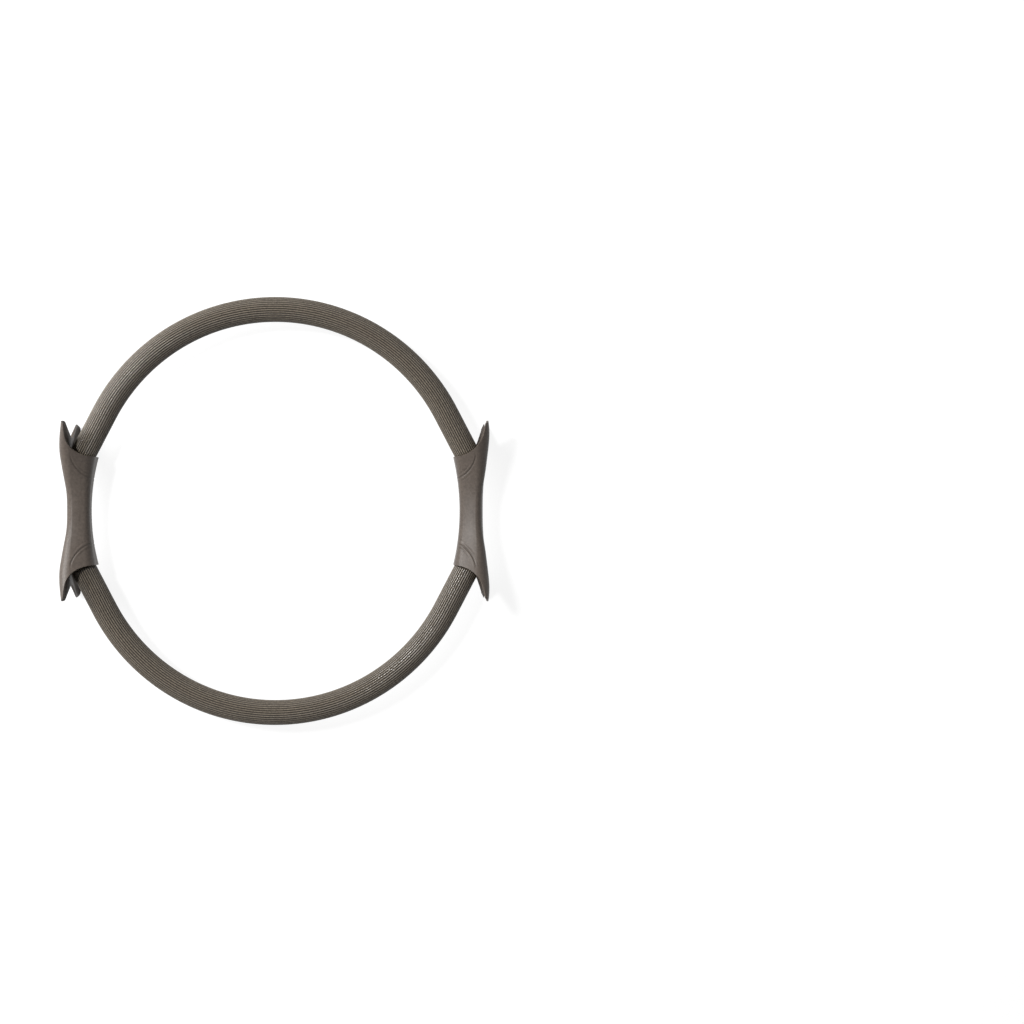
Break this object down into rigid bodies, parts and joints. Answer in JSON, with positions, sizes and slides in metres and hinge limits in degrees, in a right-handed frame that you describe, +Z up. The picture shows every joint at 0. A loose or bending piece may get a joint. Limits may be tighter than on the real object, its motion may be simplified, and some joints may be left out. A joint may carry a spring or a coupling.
{
  "type": "pilates ring",
  "caption": "Flexible exercise ring: foam-sleeved spring rods clamped into opposite hourglass grips with flared, horned ends, squeezed between hands or legs.",
  "frame": {"origin": "on the floor under the ring's centre, with the ring lying flat on the lower tips of its horns", "axes": "+Z up along the ring's axis, +X through the middle of the right grip, +Y towards the upper half of the ring as pictured"},
  "size_m": [0.3728, 0.3772, 0.0601],
  "materials": {
    "foam": "matte, ribbed lengthwise",
    "grip_cover": "soft-touch satin",
    "grip_core": "as moulded",
    "spring_rod": "pultruded glass fibre",
    "ferrule": "turned",
    "bushing": "as moulded",
    "steel": "zinc plated"
  },
  "bodies": {
    "left_handle": {"left_grip_cover": "grip_cover", "left_grip_core_front": "grip_core", "left_grip_core_back": "grip_core", "left_grip_core_screws": "steel", "left_upper_rod_ferrule": "ferrule", "left_lower_rod_ferrule": "ferrule", "left_rod_pins": "steel", "left_upper_sleeve_bushing": "bushing", "left_lower_sleeve_bushing": "bushing", "upper_spring_rod": "spring_rod", "lower_spring_rod": "spring_rod", "upper_foam_sleeve": "foam", "lower_foam_sleeve": "foam"},
    "right_handle": {"right_grip_cover": "grip_cover", "right_grip_core_front": "grip_core", "right_grip_core_back": "grip_core", "right_grip_core_screws": "steel", "right_upper_rod_ferrule": "ferrule", "right_lower_rod_ferrule": "ferrule", "right_rod_pins": "steel", "right_upper_sleeve_bushing": "bushing", "right_lower_sleeve_bushing": "bushing"}
  },
  "joints": [
    {"name": "squeeze", "type": "slide", "parent": "left_handle", "child": "right_handle", "axis": [-1, 0, 0], "range_m": [-0.025, 0.06], "stiffness_N_per_m": 2600, "deforming": ["upper_spring_rod", "lower_spring_rod", "upper_foam_sleeve", "lower_foam_sleeve"]}
  ]
}
